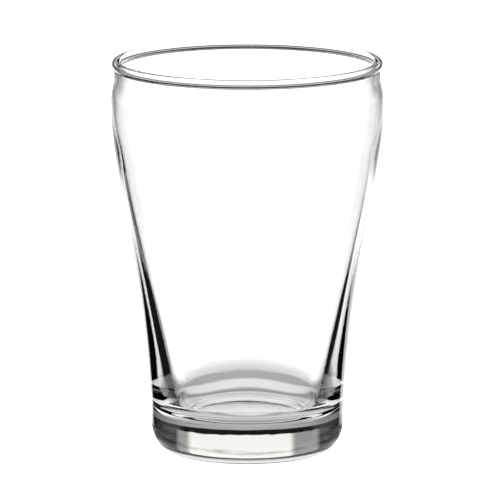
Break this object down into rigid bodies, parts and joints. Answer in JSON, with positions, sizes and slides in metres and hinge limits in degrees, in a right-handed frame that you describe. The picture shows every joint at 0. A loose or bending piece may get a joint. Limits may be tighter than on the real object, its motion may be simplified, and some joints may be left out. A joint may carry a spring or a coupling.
{
  "type": "pint glass",
  "caption": "Clear pressed-glass pint beer glass with a rounded safety rim, a gentle bulge below it, a tapered wall and a thick heavy base",
  "frame": {"origin": "centre of the bearing ring, on the surface that the glass stands on", "axes": "+Z is the glass's axis of revolution and points out of its mouth; X and Y are any two directions square to it"},
  "size_m": [0.0902, 0.0902, 0.1316],
  "materials": {
    "clear_glass": "clear fire-polished soda-lime glass"
  },
  "bodies": {
    "root": {"glass_body": "clear_glass"}
  },
  "joints": []
}
